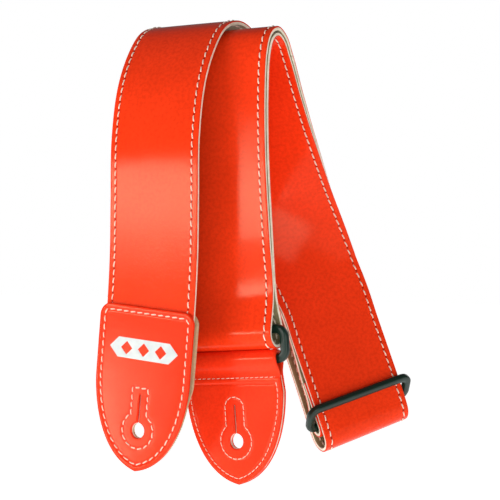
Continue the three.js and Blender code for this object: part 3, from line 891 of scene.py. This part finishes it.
def holeHalf(height):
    r, slitTop = tab["hole"], height + tab["hole"] + tab["slit"]
    a = math.degrees(math.acos(tab["slitWidth"] / 2 / r))
    return arc((0, height), r, -90, a, 30), np.array([
        (tab["slitWidth"] / 2, height + r), (tab["slitWidth"] / 2, slitTop - 0.4)]), slitTop


def ruledLoops(look, inset, corner, top=None):
    # The outer loop and, point for point, the loop round the hole and slit that it is ruled to.
    outer, _ = evenly(halfOutline(look, inset, corner, top), 181)
    rim, slit, slitTop = holeHalf(look["holeHeight"])
    circle, _ = evenly(rim, 80)
    straight, _ = evenly(slit, 71)
    end = arc((0, slitTop - 0.4), 0.4, 0, 90, 32)
    inner = np.vstack([circle, straight[1:], end[1:]])
    return mirrored(outer), mirrored(inner)


def distanceTo(points, line):
    return np.sqrt(((points[:, None] - line[None]) ** 2).sum(-1).min(1))


def tabPlate(name, look, place, front, back, slotName, welt, inset=0.0, corner=None, top=None,
             close=0.0):
    # A leather with a hole: its section runs from the rounded outer edge over the front to the
    # hole's edge and home along the back. The front rises in a welt outside the edge stitching
    # and dips along every stitch line. Below the strap's end it closes up towards the front.
    outer, inner = ruledLoops(look, inset, tab["corner"] if corner is None else corner, top)
    across = inner - outer
    width = np.linalg.norm(across, axis=1)[:, None]
    inward = across / width
    r = min(tab["edgeRound"], abs(back - front) * 0.45)
    turn = np.linspace(0, math.pi / 2, 5)
    fromEdge = [(r - r * math.cos(a), r - r * math.sin(a)) for a in turn]
    nearEdge = np.linspace(0, 5.2, 22)[None, 1:] if welt else np.array([[2.0]])
    share = np.linspace(0, 1, 74 if welt else 4)[None, 1:]
    near = np.minimum(nearEdge, (width - 2 * r) * 0.5) + r
    middle = np.concatenate([near, near[:, -1:] + (width - r - near[:, -1:]) * share], 1)
    face = outer[:, None] + inward[:, None] * middle[..., None]
    rows = [outer + inward * d for d, _ in fromEdge]
    depths = [np.full(len(outer), h) for _, h in fromEdge]
    rows += [face[:, k] for k in range(face.shape[1])]
    depths += [np.zeros(len(outer))] * face.shape[1]
    rows += [inner - inward * d for d, _ in fromEdge[::-1]]
    depths += [np.full(len(outer), h) for _, h in fromEdge[::-1]]
    flatPoints = np.stack(rows, 1)
    depth = np.stack(depths, 1)
    sign = 1 if back > front else -1
    frontY = front + sign * depth
    count = flatPoints.shape[1]
    if welt:
        grid = flatPoints.reshape(-1, 2)
        toEdge = distanceTo(grid, outer).reshape(len(outer), count)
        keyLine = mirrored(keyholeHalf(look, 0))
        toKey = distanceTo(grid, keyLine[::2]).reshape(len(outer), count)
        line = tab["stitchInset"]
        raised = tab["welt"] * np.clip(1 - ((toEdge - line * 0.5) / (line * 0.55)) ** 2, 0, 1)
        groove = tab["groove"] * np.exp(-((toEdge - line) / tab["grooveWidth"]) ** 2)
        keyGroove = tab["keyGroove"] * np.exp(-(toKey / tab["grooveWidth"]) ** 2)
        pillow = tab["pillow"] * np.clip((toEdge - line) / 5, 0, 1)
        soft = np.clip(1 - depth / r, 0, 1)
        frontY = frontY - sign * soft * (raised + pillow - groove - keyGroove)
    backRows = flatPoints[:, ::-1]
    backY = np.full((len(outer), count), float(back)) - sign * depth[:, ::-1] * 0.5
    loop = np.concatenate([flatPoints, backRows], 1)
    below = np.clip((tab["strapEnd"] - 1 - loop[..., 1]) / 11, 0, 1)
    y = np.concatenate([frontY, backY], 1) - close * below ** 2 * (3 - 2 * below)
    p = place(loop[..., 0], y, loop[..., 1])
    rings, sides = p.shape[:2]
    faces = tubeFaces(rings, sides, closedRings=True)
    piece = makePiece(name, p.reshape(-1, 3), faces, slotName)
    if sign > 0:
        piece.data.flip_normals()
    return piece


def keyholeHalf(look, grow):
    # Right half of the line of stitching round the hole and slit, from below it to its top.
    r, neck = look["keyRadius"] + grow, look["keyNeck"] + grow
    height, top = look["holeHeight"], look["holeHeight"] + look["keyTop"] + grow
    a = math.degrees(math.acos(neck / r))
    lower = arc((0, height), r, -90, a, 40)
    if look["archTop"]:
        upper = arc((0, top - neck), neck, 0, 90, 16)
    else:
        upper = np.vstack([arc((neck - 0.8, top - 0.8), 0.8, 0, 90, 5), [(0, top)]])
    straight = np.linspace((neck, height + r * math.sin(a * degree)), upper[0], 20)
    return np.vstack([lower, straight[1:-1], upper])


def placer(origin, up):
    # Puts tab coordinates (across, depth, height) in place: height along up, depth towards +Y.
    up = unit(np.array(up, float))
    right = np.array([up[2], 0, -up[0]])
    origin = np.array(origin, float)

    def place(x, y, z):
        return (origin + np.asarray(x)[..., None] * right
                + np.asarray(y)[..., None] * np.array([0, 1, 0]) + np.asarray(z)[..., None] * up)
    return place


def loopStitches(name, loop, place, y, look, seed):
    # Even stitches round a closed line on the front of a tab.
    line = np.vstack([loop, loop[:1]])
    total = np.linalg.norm(np.diff(line, axis=0), axis=1).sum()
    count = int(total / look["spacing"])
    even, _ = evenly(line, count * 4 + 1)
    middle = even[2::4][:count]
    ahead = even[3::4][:count] - even[1::4][:count]
    centre = place(middle[:, 0], np.full(count, float(y)), middle[:, 1])
    origin = place(np.zeros(count), np.zeros(count), np.zeros(count))
    along = unit(place(ahead[:, 0], np.zeros(count), ahead[:, 1]) - origin)
    normal = np.tile([0.0, -1.0, 0.0], (count, 1))
    drawn = {**look, "size": jitter(count, seed, 0.08)}
    return stitchMesh(name, centre, along, normal, drawn)


tabStitch = {"spacing": 4.0, "length": 3.4, "radius": 0.34, "slant": 8, "lift": 0.0}
fineStitch = {"spacing": 2.7, "length": 2.55, "radius": 0.2, "slant": 5, "lift": 0.02}

placeA = placer(tabA["tip"], tabA["up"])
threadFront = half + 0.35
innerA = threadFront + 0.2
outerA = innerA + tab["leather"]
frontA = tabPlate("tabAFront", tabA, placeA, -outerA, -innerA, "tab_leather", True)
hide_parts("tab_a_front")
backA = tabPlate("tabABack", tabA, placeA, outerA, innerA, "tab_back", False, inset=0.4,
                 close=tabA["close"])
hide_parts("tab_a_back")
fillerA = tabPlate("tabAFiller", tabA, placeA, -innerA + 0.05, innerA - 0.05 - tabA["close"],
                   "cream_core", False, inset=0.7, corner=1.0, top=tab["strapEnd"] - 2)
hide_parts("tab_a_filler")
edgeLoopA = mirrored(halfOutline(tabA, tab["stitchInset"], tab["corner"]))
edgeStitchesA = loopStitches("tabAEdgeStitches", edgeLoopA, placeA, -outerA + 0.22, tabStitch, 21)
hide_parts("tab_a_edge_thread")
keyStitchesA = loopStitches("tabAKeyholeStitches", mirrored(keyholeHalf(tabA, 0)), placeA,
                            -outerA + 0.06, {**tabStitch, "spacing": 3.6, "length": 3.0}, 22)
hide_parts("tab_a_keyhole_thread")
for piece in (frontA, backA, fillerA, edgeStitchesA, keyStitchesA):
    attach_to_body(piece, "strap")


def paintNode(node, slotName):
    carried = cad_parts[node]
    carried.data.materials.clear()
    carried.data.materials.append(materials[slotName])


paintNode("tab_a_foil", "foil")
paintNode("tab_b_filler", "cream_core")
print("tab A made")

lowerBar = ringTop - ringFrame["t"] * hardware["spacing"]
foldOuter = tabB["fold"] + tab["leather"]
tipB = -(tabB["length"] - foldOuter)
placeBarB = placer(lowerBar, ringFrame["t"])
placeB = placer(lowerBar + ringFrame["t"] * tipB, ringFrame["t"])
innerB = tabB["filler"] / 2 + 0.2
outerB = innerB + tab["leather"]
seamHeight = tabB["drop"] - 1.2 - tipB
frontB = tabPlate("tabBFront", tabB, placeB, -outerB, -innerB, "tab_leather", True,
                  corner=0.6, top=seamHeight)
backB = tabPlate("tabBBack", tabB, placeB, outerB, innerB, "tab_leather", False,
                 corner=0.6, top=seamHeight)


def foldPiece():
    # The leather over the lower bar: a profile swept across the tab. From the front seam it
    # rises to the bar, goes half round it and comes down to the back seam.
    low = tabB["drop"] - 1.9

    def side(radius, sheet, sign):
        wall = np.stack([np.full(6, sign * sheet), np.linspace(low, tabB["drop"], 6)], 1)
        swell = bezier((sign * sheet, tabB["drop"]), (sign * sheet, tabB["drop"] + 3),
                       (sign * radius, -3.6), (sign * radius, 0), 14)
        return np.vstack([wall, swell[1:]])

    swollen = foldOuter + tabB["swell"]
    outerLine = np.vstack([side(swollen, outerB, -1), arc((0, 0), swollen, 180, 0, 25)[1:-1],
                           side(swollen, outerB, 1)[::-1]])
    innerLine = np.vstack([side(tabB["fold"], innerB, -1),
                           arc((0, 0), tabB["fold"], 180, 0, 25)[1:-1],
                           side(tabB["fold"], innerB, 1)[::-1]])
    u = np.linspace(-1, 1, 41)
    u = np.sign(u) * (1 - (1 - np.abs(u)) ** 1.35)
    rim = tab["rimShare"]
    rounded = np.sqrt(np.clip(1 - np.clip((np.abs(u) - 1 + rim) / rim, 0, 1) ** 2, 0, 1))
    middle = (outerLine + innerLine) / 2
    thin = tab["rimThickness"]
    reach = (outerLine - middle)[None] * (thin + (1 - thin) * rounded)[:, None, None]
    top = middle[None] + reach
    bottom = middle[None] - reach
    height = top[..., 1] - tipB
    halfWidth = sideAt(tabB, height)
    x = u[:, None] * halfWidth
    loop = np.concatenate([top, bottom[:, ::-1]], 1)
    x = np.concatenate([x, x[:, ::-1]], 1)
    p = placeBarB(x, loop[..., 0], loop[..., 1])
    rings, sides = p.shape[:2]
    return makePiece("tabBFold", p.reshape(-1, 3), tubeFaces(rings, sides), "tab_leather")


foldB = foldPiece()
edgeLoopB = mirrored(halfOutline(tabB, tab["stitchInset"] - 0.4, 0.8, seamHeight + 2.4))
edgeStitchesB = loopStitches("tabBEdgeStitches", edgeLoopB, placeB, -outerB + 0.12, fineStitch, 31)
keyStitchesB = loopStitches("tabBKeyholeStitches", mirrored(keyholeHalf(tabB, 0)), placeB,
                            -outerB + 0.1, fineStitch, 32)
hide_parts("tab_b_leather")
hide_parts("tab_b_leather")
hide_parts("tab_b_leather")
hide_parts("tab_b_edge_thread")
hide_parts("tab_b_keyhole_thread")
for piece in (frontB, backB, foldB, edgeStitchesB, keyStitchesB):
    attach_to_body(piece, "tab_b")
print("tab B made")
